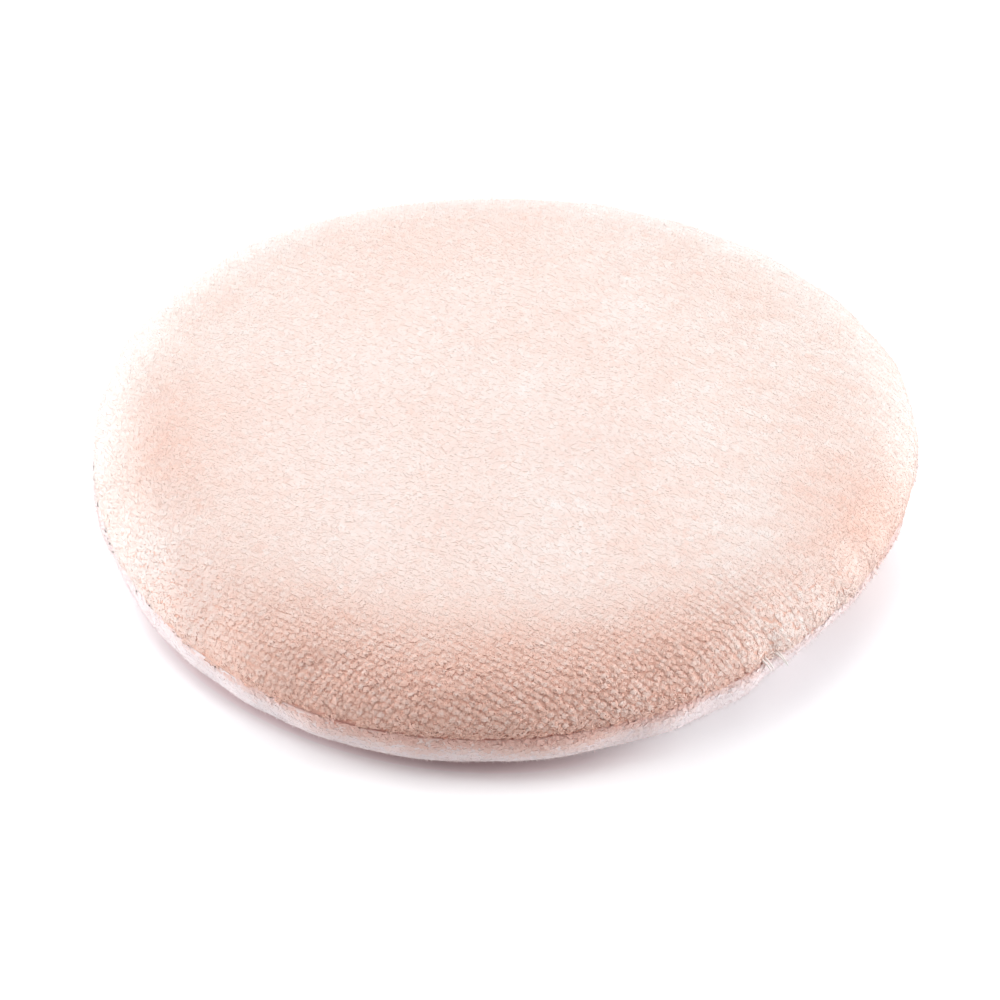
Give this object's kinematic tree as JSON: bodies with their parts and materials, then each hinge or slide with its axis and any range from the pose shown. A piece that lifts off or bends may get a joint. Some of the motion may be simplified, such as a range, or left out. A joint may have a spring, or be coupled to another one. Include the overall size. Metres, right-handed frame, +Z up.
{
  "type": "powder puff",
  "caption": "Round velour powder puff: soft pile faces sewn together round a turned-in rim seam over a foam pad, for picking up and patting on face powder.",
  "frame": {"origin": "centre of the underside, on the surface the puff rests on", "axes": "+Z up through the two faces; -Y towards the viewer of the picture; +X to the viewer's right"},
  "size_m": [0.08, 0.08, 0.013],
  "materials": {
    "velour_upper": "short dense velour pile, peach",
    "velour_lower": "short dense velour pile, pale peach",
    "foam": "open-cell polyurethane foam",
    "thread": "matt spun polyester sewing thread"
  },
  "bodies": {
    "root": {"upper_cover": "velour_upper", "lower_cover": "velour_lower", "foam_pad": "foam", "needle_thread": "thread", "bobbin_thread": "thread", "closing_thread": "thread"}
  },
  "joints": []
}
